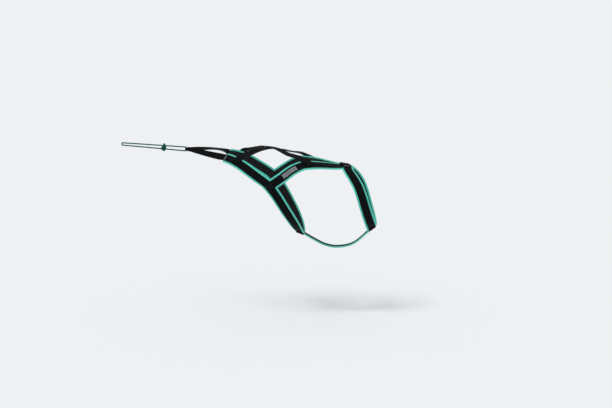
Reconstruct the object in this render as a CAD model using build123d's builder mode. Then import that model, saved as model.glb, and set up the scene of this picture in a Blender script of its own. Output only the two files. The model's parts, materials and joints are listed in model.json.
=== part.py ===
# Pulling harness of the X-back kind, shaped as it lies on its wearer at a gallop.
# Millimetres. +X points to the wearer's head, +Y to its left and +Z up. The origin lies on the
# midline at the withers, in the point of the V that the two shoulder straps make.
from build123d import *
from dataclasses import dataclass
from math import cos, radians, sin
import os

# Padded sleeves: foam in black cloth round a core of webbing, with both edges bound in a tape.
sleeve_width = 25.0
sleeve_thick = 5.0
sleeve_edge_bevel = 1.2
binding_width = 5.4
binding_thick = 3.6
binding_edge_bevel = 1.1
seam_gap = 0.1            # left between sewn pieces, so that no two solids share any space
curve_gap = 0.25          # the same beside a curved edge
sleeve_sections = 15      # stations that each sleeve is built through
fine_steps = 81           # stations that places along a strap are looked up among
binding_shift = sleeve_width / 2 + curve_gap + binding_width / 2
taken_width = 2 * binding_shift + binding_width + 2 * curve_gap   # out of another's binding
taken_thick = 4 * sleeve_thick

# Plain webbing of the crossed back straps and of the two tug straps.
webbing_width = 23.0
webbing_thick = 2.2
webbing_edge_bevel = 0.5
on_skin = webbing_thick / 2 + seam_gap
over_sleeve = sleeve_thick + webbing_thick / 2 + 1.3   # clear of the sleeves as they turn away
over_webbing = 1.5 * webbing_thick + 0.6
patch_thick = 2.0
over_joint = sleeve_thick + patch_thick / 2 + 0.9
over_withers = over_joint + 0.7        # where three sleeves meet
over_belly = over_joint + 1.8          # where the body curves in towards the waist

# Reflective label on each brace strap, with nothing printed on it.
label_length = 52.0
label_width = 14.0
label_thick = 0.8

# Tug loop: one cord through the webbing's fold, and a knot that slides along both strands.
eye_x, eye_z = -487.0, 48.0
pull_rise = 4.1           # degrees that the loop rises to the rear
cord_radius = 2.0
loop_length = 208.0
strand_at_eye = 6.25      # half the distance between the strands' centre lines
strand_at_bight = 3.7
eye_bend_radius = 2.7
bight_bend_radius = 3.6
fold_clearance = 0.35
fold_half_height = 3.5    # at the cord, where the webbing is folded narrow
fold_narrow_to = 2.6
fold_full_from = 4.2
fold_length = 10.0
fold_end_height = 13.0
knot_from_eye = 71.5
knot_depth = 12.0
knot_half_height = 12.5
passage_half_height = 8.4
passage_width = 4.7
# Columns: height on the knot, half its length along the loop there.
knot_outline = [(12.5, 3.5), (8, 3.5), (4, 6), (-4, 9), (-12.5, 4)]

# The wearer's body as ellipses across the X axis, each of an upper and a lower half.
# Columns: x, height of the top, of the widest level and of the underside, half width.
body_form = [
    (-460, 8, -60, -165, 50),
    (-420, 28, -42, -190, 66),
    (-365, 46, -25, -198, 80),
    (-320, 54, -25, -196, 88),
    (-270, 56, -35, -195, 95),
    (-222, 53, -45, -197, 100),
    (-170, 46, -55, -202, 103),
    (-120, 35, -62, -214, 102),
    (-80, 24, -70, -236, 98),
    (-40, 12, -80, -256, 91),
    (0, 1, -88, -262, 82),
    (50, -7, -94, -250, 70),
    (100, -12, -100, -208, 58),
    (140, -10, -100, -178, 50),
]

# Centre lines of the straps on the body. Columns: x, degrees round the body from its top
# towards the strap's own side, height of the centre line above the body.
sleeve_lift = sleeve_thick / 2 + seam_gap
neck_route = [
    (29, -12, sleeve_lift),
    (30, 0, sleeve_lift),
    (31, 14, sleeve_lift),
    (34, 27, sleeve_lift),
    (52, 49, sleeve_lift),
    (67, 67, sleeve_lift),
    (80, 89, sleeve_lift),
    (93, 112, sleeve_lift),
    (103, 136, sleeve_lift),
    (108, 160, sleeve_lift),
    (109, 192, sleeve_lift),
]
shoulder_route = [
    (38, 5.5, sleeve_lift),
    (2, 17, sleeve_lift),
    (-26, 24, sleeve_lift),
    (-61, 31.5, sleeve_lift),
    (-88, 38, sleeve_lift),
    (-124, 47, sleeve_lift),
]
brace_route = [
    (-92, 36.5, sleeve_lift),
    (-110, 43.5, sleeve_lift),
    (-141, 57.2, sleeve_lift),
    (-170, 72.6, sleeve_lift),
    (-200, 87.6, sleeve_lift),
    (-212, 93.7, sleeve_lift),
]
flank_route = [
    (-357, 43.9, sleeve_lift),
    (-312, 61, sleeve_lift),
    (-265, 77.5, sleeve_lift),
    (-223, 90, sleeve_lift),
    (-195, 101, sleeve_lift),
    (-167, 118, sleeve_lift),
    (-139, 140, sleeve_lift),
    (-124, 161, sleeve_lift),
    (-120, 192, sleeve_lift),
]
breast_route = [
    (103, 180, sleeve_lift),
    (62, 180, sleeve_lift),
    (10, 180, sleeve_lift),
    (-45, 180, sleeve_lift),
    (-112, 180, sleeve_lift),
]
# The point of the V at the withers, where the neck strap's edge is hidden under the others.
wedge_route = [(32, 0, sleeve_lift), (10, 0, sleeve_lift), (-12, 0, sleeve_lift)]

# One of the crossed straps: the left one lies on the body, the right one on top of it.
back_route = {
    "left": [
        (-84, 37.8, over_sleeve),
        (-103, 33.2, over_sleeve),
        (-126, 28, over_sleeve),
        (-155, 20.5, on_skin),
        (-182, 12, on_skin),
        (-215, 0, on_skin),
        (-240, -12, on_skin),
        (-262, -23.5, on_skin),
        (-282, -33.5, on_skin),
        (-302, -45, over_sleeve),
        (-322, -58, over_sleeve),
    ],
    "right": [
        (-84, 37.8, over_sleeve),
        (-103, 33.2, over_sleeve),
        (-126, 28, over_sleeve),
        (-155, 20.5, on_skin),
        (-167, 16.8, on_skin),
        (-190, 9.3, over_webbing),
        (-215, 0, over_webbing),
        (-237, -10.5, over_webbing),
        (-257, -20.9, on_skin),
        (-282, -33.5, on_skin),
        (-302, -45, over_sleeve),
        (-322, -58, over_sleeve),
    ],
}
patch_route = {
    "withers_patch": [(19, -11, over_withers), (19, 0, over_withers), (19, 11, over_withers)],
    "chest_patch": [(108, 158, over_joint), (108, 180, over_joint), (108, 202, over_joint)],
    "belly_patch": [(-119, 166, over_belly), (-119, 180, over_belly), (-119, 194, over_belly)],
}
patch_width = {"withers_patch": 30.0, "chest_patch": 24.0, "belly_patch": 26.0}

sides = {"right": -1, "left": 1}


@dataclass
class Station:
    point: Vector      # on the centre line
    along: Vector      # direction of the centre line
    across: Vector     # to the front edge, or to the outer edge where the strap runs rearwards
    outward: Vector    # away from the body


def between(keys, values, at):
    """Smooth value at a key, from a column that runs through all the given values."""
    count = len(keys)
    step = max(i for i in range(count - 1) if i == 0 or keys[i] <= at)

    def slope(i):
        low, high = max(i - 1, 0), min(i + 1, count - 1)
        return (values[high] - values[low]) / (keys[high] - keys[low])

    span = keys[step + 1] - keys[step]
    t = (at - keys[step]) / span
    start = (1 + 2 * t) * (1 - t) ** 2 * values[step] + t * (1 - t) ** 2 * span * slope(step)
    end = t**2 * (3 - 2 * t) * values[step + 1] + t**2 * (t - 1) * span * slope(step + 1)
    return start + end


def on_body(x, angle, side):
    """Point on the body, at an angle round it from the top towards one side."""
    columns = list(zip(*body_form))
    top, widest, underside, half_width = (between(columns[0], column, x) for column in columns[1:])
    height = (top - widest if cos(radians(angle)) > 0 else widest - underside)
    return Vector(
        x,
        side * half_width * sin(radians(angle)),
        widest + height * cos(radians(angle)),
    )


def off_body(x, angle, side):
    """Direction straight out of the body at such a point."""
    forwards = on_body(x + 1, angle, side) - on_body(x - 1, angle, side)
    around = on_body(x, angle + 1, side) - on_body(x, angle - 1, side)
    return (around.cross(forwards) * -side).normalized()


def stations(route, side, count, first=0.0, last=1.0):
    """Evenly spaced stations along a strap, between two shares of its length."""
    corners = [on_body(x, angle, side) for x, angle, _ in route]
    reach = [0.0]
    for here, there in zip(corners, corners[1:]):
        reach.append(reach[-1] + (there - here).length)
    columns = list(zip(*route))

    def lifted(distance):
        x, angle, lift = (between(reach, column, distance) for column in columns)
        outward = off_body(x, angle, side)
        return on_body(x, angle, side) + outward * lift, outward

    found = []
    for i in range(count):
        distance = reach[-1] * (first + (last - first) * i / (count - 1))
        point, outward = lifted(distance)
        ahead = lifted(distance + 0.5)[0] - lifted(distance - 0.5)[0]
        along = ahead.normalized()
        across = (outward.cross(along) * -side).normalized()
        found.append(Station(point, along, across, along.cross(across) * -side))
    return found


def loft_strip(frames, width, thick, edge_bevel, shift=0.0, mode=Mode.ADD):
    """Flat strip through the stations, shifted across them, in the part being built."""
    sections = []
    for frame in frames:
        centre = frame.point + frame.across * shift
        with BuildSketch(Plane(centre, x_dir=frame.across, z_dir=frame.along)) as section:
            Rectangle(width, thick)
            chamfer(section.vertices(), edge_bevel)
        sections.append(section.sketch)
    loft(sections=sections, ruled=True, mode=mode)


def loft_bindings(frames):
    """Tape folded round both edges of a sleeve, in the part being built."""
    for shift in (binding_shift, -binding_shift):
        loft_strip(frames, binding_width, binding_thick, binding_edge_bevel, shift)


def trim(planes):
    """Cut the part that is being built, keeping what lies in front of each plane."""
    for plane in planes:
        split(bisect_by=plane, keep=Keep.TOP)


def finish(part, name):
    part.part.label = name
    export_step(part.part, f"parts/{name}.step")
    print(name, "solids", len(part.part.solids()), "volume", round(part.part.volume))


def beside(route, side, near, edge):
    """Plane along a sleeve's edge, for the end of a strap that is sewn to it near a point."""
    frames = stations(route, side, fine_steps)
    frame = min(frames, key=lambda station: (station.point - near).length)
    clear = sleeve_width / 2 + curve_gap
    return Plane(frame.point + frame.across * (edge * clear), z_dir=frame.across * edge)


def middle(side):
    """The midline plane, facing one side."""
    return Plane(Vector(0, side * seam_gap / 2, 0), z_dir=Vector(0, side, 0))


os.makedirs("parts", exist_ok=True)

# The padded straps of both sides. Each is cut where it is sewn to the next, and a sleeve's
# binding stops where another strap runs into it.
for name, side in sides.items():
    joint = on_body(-108, 43, side)
    back_of_shoulder = stations(shoulder_route, side, 7)[-2].along
    turn = (back_of_shoulder + stations(brace_route, side, 7)[1].along).normalized()
    shoulder_front = beside(neck_route, side, on_body(18, 9, side), -1)
    shoulder_back = Plane(joint - turn * (seam_gap / 2), z_dir=turn * -1)
    brace_front = Plane(joint + turn * (seam_gap / 2), z_dir=turn)
    brace_back = beside(flank_route, side, on_body(-200, 88, side), 1)

    # Columns: route, planes that cut it, routes of the straps that run into its edges.
    padded = {
        "neck": (neck_route, [middle(side)], [shoulder_route, wedge_route, breast_route]),
        "shoulder": (shoulder_route, [shoulder_front, shoulder_back, middle(side)], []),
        "brace": (brace_route, [brace_front, brace_back], []),
        "flank": (flank_route, [middle(side)], [brace_route, breast_route]),
    }
    for kind, (route, cuts, crossings) in padded.items():
        frames = stations(route, side, sleeve_sections)
        with BuildPart() as sleeve:
            loft_strip(frames, sleeve_width, sleeve_thick, sleeve_edge_bevel)
            trim(cuts)
        finish(sleeve, f"{kind}_strap_{name}")
        with BuildPart() as binding:
            loft_bindings(frames)
            for crossing in crossings:
                taken = stations(crossing, side, sleeve_sections)
                loft_strip(taken, taken_width, taken_thick, seam_gap, mode=Mode.SUBTRACT)
            trim(cuts)
        finish(binding, f"{kind}_binding_{name}")

# The padded strap under the chest, between the forelegs' openings.
breast = stations(breast_route, -1, sleeve_sections)
breast_cuts = [
    beside(neck_route, -1, on_body(109, 180, -1), -1),
    beside(flank_route, -1, on_body(-120, 180, -1), 1),
]
with BuildPart() as breast_strap:
    loft_strip(breast, sleeve_width, sleeve_thick, sleeve_edge_bevel)
    trim(breast_cuts)
finish(breast_strap, "breast_strap")
with BuildPart() as breast_binding:
    loft_bindings(breast)
    trim(breast_cuts)
finish(breast_binding, "breast_binding")

# The crossed straps, sewn down on the shoulder joint and on the other side's hip.
for name, side in sides.items():
    with BuildPart() as back_strap:
        frames = stations(back_route[name], side, 19)
        loft_strip(frames, webbing_width, webbing_thick, webbing_edge_bevel)
    finish(back_strap, f"back_strap_{name}")

# Patches over the three places on the midline where straps meet.
for name, route in patch_route.items():
    with BuildPart() as patch:
        loft_strip(stations(route, 1, 5), patch_width[name], patch_thick, webbing_edge_bevel)
    finish(patch, name)

# Reflective labels along the middle of the brace straps.
for name, side in sides.items():
    frames = stations(brace_route, side, 61)
    centre = frames.index(min(frames, key=lambda s: (s.point - on_body(-148, 63.5, side)).length))
    spacing = (frames[1].point - frames[0].point).length
    half_count = round(label_length / spacing / 2)
    chosen = []
    for offset in (-1, -0.5, 0, 0.5, 1):
        frame = frames[centre + round(offset * half_count)]
        raised = frame.point + frame.outward * ((sleeve_thick + label_thick) / 2 + curve_gap)
        chosen.append(Station(raised, frame.along, frame.across, frame.outward))
    with BuildPart() as label:
        loft_strip(chosen, label_width, label_thick, label_thick / 4)
    finish(label, f"label_{name}")

# The webbing's fold round the cord. Its plane is square to the cord where that runs through it.
rise = radians(pull_rise)
eye_plane = Plane(
    (eye_x, 0, eye_z), x_dir=(cos(rise), 0, -sin(rise)), z_dir=(sin(rise), 0, cos(rise))
)
fold_inner = cord_radius + fold_clearance
fold_outer = fold_inner + webbing_thick - 2 * seam_gap
with BuildPart() as tug_eye:
    with BuildSketch(eye_plane) as fold:
        with BuildLine():
            outer = ThreePointArc((0, fold_outer), (-fold_outer, 0), (0, -fold_outer))
            Line((0, -fold_outer), (fold_length, -webbing_thick))
            Line((fold_length, -webbing_thick), (fold_length, -seam_gap))
            Line((fold_length, -seam_gap), (0, -fold_inner))
            inner = ThreePointArc((0, -fold_inner), (-fold_inner, 0), (0, fold_inner))
            Line((0, fold_inner), (fold_length, seam_gap))
            Line((fold_length, seam_gap), (fold_length, webbing_thick))
            Line((fold_length, webbing_thick), (0, fold_outer))
        make_face()
    extrude(amount=fold_end_height, both=True)
    side_plane = Plane(eye_plane.origin, x_dir=eye_plane.x_dir, z_dir=eye_plane.y_dir * -1)
    with BuildSketch(side_plane):
        with BuildLine():
            Polyline(
                (-2 * fold_outer, -fold_half_height),
                (fold_narrow_to, -fold_half_height),
                (fold_full_from, -fold_end_height / 2),
                (fold_length, -fold_end_height / 2),
                (fold_length, fold_end_height / 2),
                (fold_full_from, fold_end_height / 2),
                (fold_narrow_to, fold_half_height),
                (-2 * fold_outer, fold_half_height),
                close=True,
            )
        make_face()
    extrude(amount=2 * fold_outer, both=True, mode=Mode.INTERSECT)
finish(tug_eye, "tug_eye")

# The tug straps run straight from the hips to the fold, turning on edge and growing narrower.
# In the middle the right one stands on edge and the left one lies nearly flat.
turning_shares = (0, 0.12, 0.3, 0.5, 0.75, 1)
half_way_across = {"right": Vector(0, 0.45, 0.89), "left": Vector(0, -0.94, 0.34)}
leg_shift = webbing_thick / 2 + seam_gap
for name, side in sides.items():
    hip = stations(flank_route, side, fine_steps)[0]
    leg = eye_plane.from_local_coords(Vector(fold_length + seam_gap, side * leg_shift, 0))
    start = hip.point - hip.along * seam_gap
    upright = eye_plane.z_dir
    with BuildPart() as tug_strap:
        sections = []
        for t in turning_shares:
            along = (hip.along * -(1 - t) + (leg - start).normalized() * t).normalized()
            across = hip.across * (1 - t) ** 4 + upright * t**3
            across += half_way_across[name] * (1 - (1 - t) ** 4 - t**3)
            across = (across - along * across.dot(along)).normalized()
            width = webbing_width + (fold_end_height - webbing_width) * t
            centre = start + (leg - start) * t
            if t == 1:
                along, across = eye_plane.x_dir * -1, upright
            with BuildSketch(Plane(centre, x_dir=across, z_dir=along)) as section:
                Rectangle(width, webbing_thick - 2 * seam_gap)
                chamfer(section.vertices(), webbing_edge_bevel)
            sections.append(section.sketch)
        loft(sections=sections, ruled=True)
    finish(tug_strap, f"tug_strap_{name}")

# The cord loop, as straight runs joined by arcs, with both ends hidden inside the fold.
cord_plane = Plane(eye_plane.origin, x_dir=eye_plane.x_dir * -1, z_dir=eye_plane.y_dir)
cord_route = [
    (0, seam_gap / 2),
    (0, strand_at_eye),
    (loop_length, strand_at_bight),
    (loop_length, -strand_at_bight),
    (0, -strand_at_eye),
    (0, -seam_gap / 2),
]
cord_radii = [eye_bend_radius, bight_bend_radius, bight_bend_radius, eye_bend_radius]
cord_start = eye_plane.origin + eye_plane.z_dir * (seam_gap / 2)
with BuildPart() as tug_cord:
    with BuildLine(cord_plane) as cord_line:
        FilletPolyline(*cord_route, radius=cord_radii)
    with BuildSketch(Plane(cord_start, z_dir=eye_plane.z_dir)):
        Circle(cord_radius)
    sweep(path=cord_line.wires()[0])
print("cord arcs", cord_radii, "length", round(cord_line.wires()[0].length, 1))
finish(tug_cord, "tug_cord")

# The knot that slides on the loop: a wrap of the same cord, narrow at the top and the bottom.
knot_centre = eye_plane.from_local_coords(Vector(-knot_from_eye, 0, 0))
knot_plane = Plane(knot_centre, x_dir=eye_plane.y_dir, z_dir=eye_plane.x_dir)
knot_side = Plane(knot_centre, x_dir=eye_plane.x_dir, z_dir=eye_plane.y_dir * -1)
with BuildPart() as slider_knot:
    with BuildSketch(knot_plane):
        SlotOverall(2 * knot_half_height, knot_depth, rotation=90)
        SlotOverall(2 * passage_half_height, passage_width, rotation=90, mode=Mode.SUBTRACT)
    extrude(amount=knot_half_height, both=True)
    with BuildSketch(knot_side):
        with BuildLine():
            rear = [(-half, height) for height, half in knot_outline]
            front = [(half, height) for height, half in reversed(knot_outline)]
            Polyline(*rear, *front, close=True)
        make_face()
    extrude(amount=knot_depth, both=True, mode=Mode.INTERSECT)
finish(slider_knot, "slider_knot")
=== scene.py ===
# A sled dog's pulling harness of the X-back kind, in its worn shape over a pale floor.
# Tables are in millimetres, the scene in metres. +X points to the wearer's head, +Y to its left.
import bisect
import json
import math
from collections import defaultdict
from dataclasses import dataclass
from functools import partial

import bmesh
import bpy
from mathutils import Matrix, Vector, noise

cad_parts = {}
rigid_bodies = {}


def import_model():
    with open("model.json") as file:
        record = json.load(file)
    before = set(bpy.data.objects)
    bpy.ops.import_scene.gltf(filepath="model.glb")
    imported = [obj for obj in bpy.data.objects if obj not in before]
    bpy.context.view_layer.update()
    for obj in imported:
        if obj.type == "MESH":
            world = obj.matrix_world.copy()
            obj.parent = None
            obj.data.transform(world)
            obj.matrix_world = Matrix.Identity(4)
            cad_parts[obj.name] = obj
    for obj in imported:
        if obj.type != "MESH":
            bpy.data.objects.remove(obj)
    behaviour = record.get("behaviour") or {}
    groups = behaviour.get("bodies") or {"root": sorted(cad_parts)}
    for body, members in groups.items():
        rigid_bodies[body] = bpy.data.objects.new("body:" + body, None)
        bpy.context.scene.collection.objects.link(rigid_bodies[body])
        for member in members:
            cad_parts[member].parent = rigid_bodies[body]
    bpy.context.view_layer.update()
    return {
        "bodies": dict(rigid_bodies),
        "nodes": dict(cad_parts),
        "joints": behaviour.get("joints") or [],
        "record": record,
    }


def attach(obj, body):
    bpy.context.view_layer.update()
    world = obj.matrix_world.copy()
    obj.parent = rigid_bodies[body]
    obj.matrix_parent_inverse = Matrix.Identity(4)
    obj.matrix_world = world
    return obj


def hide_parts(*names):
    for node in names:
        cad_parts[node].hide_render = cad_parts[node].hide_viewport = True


mm = 0.001
sides = {"right": -1, "left": 1}

# The wearer's body as ellipses across the X axis, each of an upper and a lower half.
# Columns: x, height of the top, of the widest level and of the underside, half width.
bodyForm = [
    (-460, 8, -60, -165, 50),
    (-420, 28, -42, -190, 66),
    (-365, 46, -25, -198, 80),
    (-320, 54, -25, -196, 88),
    (-270, 56, -35, -195, 95),
    (-222, 53, -45, -197, 100),
    (-170, 46, -55, -202, 103),
    (-120, 35, -62, -214, 102),
    (-80, 24, -70, -236, 98),
    (-40, 12, -80, -256, 91),
    (0, 1, -88, -262, 82),
    (50, -7, -94, -250, 70),
    (100, -12, -100, -208, 58),
    (140, -10, -100, -178, 50),
]
bodyColumns = list(zip(*bodyForm))

# Centre lines of the padded straps. Columns: x, degrees round the body from its top towards the
# strap's own side.
sleeveRoutes = {
    "neck": [(29, -12), (30, 0), (31, 14), (34, 27), (52, 49), (67, 67), (80, 89), (93, 112)]
    + [(103, 136), (108, 160), (109, 192)],
    "shoulder": [(38, 5.5), (2, 17), (-26, 24), (-61, 31.5), (-88, 38), (-124, 47)],
    "brace": [(-92, 36.5), (-110, 43.5), (-141, 57.2), (-170, 72.6), (-200, 87.6), (-224, 99.4)],
    "flank": [(-357, 43.9), (-312, 61), (-265, 77.5), (-223, 90), (-195, 101), (-167, 118)]
    + [(-139, 140), (-124, 161), (-120, 192)],
    "breast": [(103, 180), (62, 180), (10, 180), (-45, 180), (-112, 180)],
}

# Places where straps meet, are sewn or are covered, in the same columns.
places = {
    "neckMeetsShoulder": (18, 9),
    "shoulderAtNeck": (2, 17),
    "shoulderMeetsBrace": (-108, 43),
    "braceMeetsFlank": (-200, 88),
    "neckMeetsBreast": (109, 180),
    "flankMeetsBreast": (-120, 180),
    "crossing": (-215, 0),
    "neckBar": (31, 14.5),
    "label": (-148, 63.5),
}

# Heights of centre lines above the body.
sleeveLift = 2.6
onSkin = 1.2
overSleeve = 7.4
overWebbing = 3.9

# The crossed straps, with the height as a third column. The right one lies on the left one.
backStart = [(-84, 37.8, overSleeve), (-103, 33.2, overSleeve)]
backStart += [(-126, 28, overSleeve), (-155, 20.5, onSkin)]
backEnd = [(-282, -33.5, onSkin), (-302, -45, overSleeve), (-322, -58, overSleeve)]
backMiddles = {
    "left": [(-182, 12, onSkin), (-215, 0, onSkin), (-240, -12, onSkin), (-262, -23.5, onSkin)],
    "right": [
        (-167, 16.8, onSkin),
        (-190, 9.3, overWebbing),
        (-215, 0, overWebbing),
        (-237, -10.5, overWebbing),
        (-257, -20.9, onSkin),
    ],
}


@dataclass
class Station:
    point: Vector  # on the strap's centre line
    along: Vector
    across: Vector  # to the front edge, or to the outer edge where the strap runs rearwards
    outward: Vector  # off the body
    reach: float  # length of the strap up to here
    share: float = 0.0

    def at(self, across, outward):
        return self.point + self.across * across + self.outward * outward


# Smooth value at a key, from a column that runs through all the given values.
def between(keys, values, at):
    count = len(keys)
    step = max(i for i in range(count - 1) if i == 0 or keys[i] <= at)

    def slope(i):
        low, high = max(i - 1, 0), min(i + 1, count - 1)
        return (values[high] - values[low]) / (keys[high] - keys[low])

    span = keys[step + 1] - keys[step]
    t = (at - keys[step]) / span
    start = (1 + 2 * t) * (1 - t) ** 2 * values[step] + t * (1 - t) ** 2 * span * slope(step)
    end = t**2 * (3 - 2 * t) * values[step + 1] + t**2 * (t - 1) * span * slope(step + 1)
    return start + end


def onBody(x, angle, side):
    keys, *columns = bodyColumns
    top, widest, underside, halfWidth = (between(keys, column, x) for column in columns)
    turn = math.radians(angle)
    height = top - widest if math.cos(turn) > 0 else widest - underside
    return Vector((x, side * halfWidth * math.sin(turn), widest + height * math.cos(turn)))


def offBody(x, angle, side):
    forwards = onBody(x + 1, angle, side) - onBody(x - 1, angle, side)
    around = onBody(x, angle + 1, side) - onBody(x, angle - 1, side)
    return (around.cross(forwards) * -side).normalized()


# Length of a run of points up to each of them.
def lengths(points):
    reach = [0.0]
    for here, there in zip(points, points[1:]):
        reach.append(reach[-1] + (there - here).length)
    return reach


def wayAt(points, i):
    return (points[min(i + 1, len(points) - 1)] - points[max(i - 1, 0)]).normalized()


# Stations along a strap, about a spacing apart.
def stations(route, side, spacing=2.0):
    route = [(*row, sleeveLift)[:3] for row in route]
    reach = lengths([onBody(x, angle, side) for x, angle, _ in route])
    columns = list(zip(*route))

    def lifted(distance):
        x, angle, lift = (between(reach, column, distance) for column in columns)
        outward = offBody(x, angle, side)
        return onBody(x, angle, side) + outward * lift, outward

    found = []
    count = round(reach[-1] / spacing)
    for i in range(count + 1):
        distance = reach[-1] * i / count
        point, outward = lifted(distance)
        along = (lifted(distance + 0.5)[0] - lifted(distance - 0.5)[0]).normalized()
        across = (outward.cross(along) * -side).normalized()
        found.append(Station(point, along, across, along.cross(across) * -side, distance))
    return found


def nearest(frames, point):
    return min(frames, key=lambda frame: (frame.point - point).length)


def spot(place, side):
    return onBody(*places[place], side)


def stationAt(frames, reach):
    place = bisect.bisect(frames, reach, 1, len(frames) - 1, key=lambda frame: frame.reach)
    before, after = frames[place - 1], frames[place]
    share = min(max((reach - before.reach) / (after.reach - before.reach), 0), 1)
    mixed = [
        getattr(before, part).lerp(getattr(after, part), share)
        for part in ("point", "along", "across", "outward")
    ]
    return Station(*mixed, reach, before.share + (after.share - before.share) * share)


def spread(low, high, count):
    return [low + (high - low) * i / (count - 1) for i in range(count)]


def mix(low, high, share):
    return low + (high - low) * share


def bell(value, centre, breadth):
    return math.exp(-(((value - centre) / breadth) ** 2))


def smoothStep(share):
    share = min(max(share, 0.0), 1.0)
    return share * share * (3 - 2 * share)


# Smooth unevenness at a point of a piece, from -1 to 1 and then in millimetres.
def grain(piece, point):
    return noise.noise(point / piece["grainSize"] + Vector((piece["seed"], 0, 0)))


def uneven(piece, point):
    return piece["unevenness"] * grain(piece, point)


def seamDip(piece, across):
    return piece["seamDip"] * bell(abs(across), piece["seamAt"], piece["seamBreadth"])


def addObject(name, data):
    made = bpy.data.objects.new(name, data)
    bpy.context.scene.collection.objects.link(made)
    return made


for leftover in list(bpy.data.objects):
    bpy.data.objects.remove(leftover)
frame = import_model()
print("stage: frame loaded,", len(frame["nodes"]), "nodes")


# Camera, as the photograph sees the harness: a long lens, from a little above and behind square.
view = {
    "azimuth": 3.0, "elevation": 10.0, "distance": 8.0, "fieldWidth": 1.9584,
    "rightOfOrigin": -0.1024, "aboveOrigin": -0.1248, "sensorWidth": 36.0,
}
azimuth, elevation = math.radians(view["azimuth"]), math.radians(view["elevation"])
level = math.cos(elevation)
cameraBack = Vector((math.sin(azimuth) * level, -math.cos(azimuth) * level, math.sin(elevation)))
cameraRight = Vector((math.cos(azimuth), math.sin(azimuth), 0))
cameraUp = cameraBack.cross(cameraRight)
lookAt = cameraRight * view["rightOfOrigin"] + cameraUp * view["aboveOrigin"]
camera = addObject("camera", bpy.data.cameras.new("camera"))
camera.data.sensor_width = view["sensorWidth"]
camera.data.lens = view["sensorWidth"] * view["distance"] / view["fieldWidth"]
camera.data.clip_end = 200
camera.location = lookAt + cameraBack * view["distance"]
camera.rotation_mode = "QUATERNION"
camera.rotation_quaternion = Matrix((cameraRight, cameraUp, cameraBack)).transposed().to_quaternion()
bpy.context.scene.camera = camera


# Materials
mixSockets = {"factor": 0, "first": 6, "second": 7, "result": 2}  # of a Mix node set to colours


def linearColour(hexText):
    channels = [int(hexText[i : i + 2], 16) / 255 for i in (1, 3, 5)]
    return [c / 12.92 if c <= 0.04045 else ((c + 0.055) / 1.055) ** 2.4 for c in channels] + [1.0]


def addNode(tree, kind, inputs=None, **settings):
    node = tree.nodes.new(kind)
    node.location.x = 190 * len(tree.nodes)
    for key, value in settings.items():
        setattr(node, key, value)
    for key, value in (inputs or {}).items():
        if isinstance(value, bpy.types.Node):
            value = value.outputs[0]
        if isinstance(value, bpy.types.NodeSocket):
            tree.links.new(value, node.inputs[key])
        else:
            node.inputs[key].default_value = value
    return node


# A new material, and what adds a node to it.
def newMaterial(name):
    material = bpy.data.materials.new(name)
    material.use_nodes = True
    material.node_tree.nodes.clear()
    return material, partial(addNode, material.node_tree)


# Ends a material in its shader and gives it back. A relief is its height, strength and depth.
def surfaced(material, colour, shine, relief=None):
    add = partial(addNode, material.node_tree)
    inputs = {"Base Color": colour} | shine
    if relief:
        inputs["Normal"] = add("ShaderNodeBump", dict(zip(("Height", "Strength", "Distance"), relief)))
    add("ShaderNodeOutputMaterial", {"Surface": add("ShaderNodeBsdfPrincipled", inputs)})
    return material


# Ridges along one coordinate, from 0 in a groove to 1 on a ridge.
def ridges(add, source, pitch):
    turns = add("ShaderNodeMath", {0: source, 1: math.tau / (pitch * mm)}, operation="MULTIPLY")
    sine = add("ShaderNodeMath", {0: turns}, operation="SINE")
    return add("ShaderNodeMath", {0: sine, 1: 0.5, 2: 0.5}, operation="MULTIPLY_ADD")


def tinted(add, factor, first, second):
    first, second = (linearColour(c) if isinstance(c, str) else c for c in (first, second))
    inputs = {mixSockets["factor"]: factor, mixSockets["first"]: first, mixSockets["second"]: second}
    return add("ShaderNodeMix", inputs, data_type="RGBA").outputs[mixSockets["result"]]


# Cloth that is woven in ribs. The strap's UV map is in metres, along the strap and round it, and
# the attribute edge grows to 1 at the strap's edges, where the cloth is rubbed.
def wovenCloth(name, look):
    material, add = newMaterial(name)
    split = add("ShaderNodeSeparateXYZ", {"Vector": add("ShaderNodeUVMap", uv_map="strap")})
    along, around = split.outputs["X"], split.outputs["Y"]
    place = add("ShaderNodeTexCoord").outputs["Object"]
    soil = add("ShaderNodeTexNoise", {"Vector": place, "Scale": look["soilScale"], "Detail": 5.0})
    waver = {0: soil, 1: look["waver"] * mm, 2: along}
    ribs = ridges(add, add("ShaderNodeMath", waver, operation="MULTIPLY_ADD"), look["ribPitch"])
    stagger = {0: along, 1: look["threadPitch"] / look["ribPitch"] / 2, 2: around}
    fine = ridges(add, add("ShaderNodeMath", stagger, operation="MULTIPLY_ADD"), look["threadPitch"])
    weave = {0: fine, 1: look["threadShare"], 2: ribs}
    height = add("ShaderNodeMath", weave, operation="MULTIPLY_ADD")
    # Painted shade: the colour goes from the thread colour on the ribs to the darker groove colour down
    # in the grooves.
    grooveShade = add("ShaderNodeMath", {0: height, 1: look["contrast"]}, operation="MULTIPLY")
    cloth = tinted(add, grooveShade, look["shadedGroove"], look["thread"])
    dust = {"Value": soil, "From Min": 0.45, "From Max": 0.75, "To Max": look["dust"]}
    cloth = tinted(add, add("ShaderNodeMapRange", dust), cloth, look["dustColour"])
    edge = add("ShaderNodeAttribute", attribute_name="edge").outputs["Fac"]
    fuzz = add("ShaderNodeTexNoise", {"Vector": place, "Scale": 600.0, "Detail": 3.0})
    rubbed = add("ShaderNodeMath", {0: fuzz, 1: 0.12, 2: edge}, operation="MULTIPLY_ADD")
    wear = {"Value": rubbed, "From Min": 0.98, "From Max": 1.1, "To Max": look["wear"]}
    cloth = tinted(add, add("ShaderNodeMapRange", wear), cloth, look["wornColour"])
    shine = {"Roughness": look["roughness"], "Specular IOR Level": look["specular"]}
    shine |= {"Sheen Weight": look["sheen"], "Sheen Roughness": 0.45}
    return surfaced(material, cloth, shine, (height, look["bump"], look["relief"] * mm))


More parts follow.
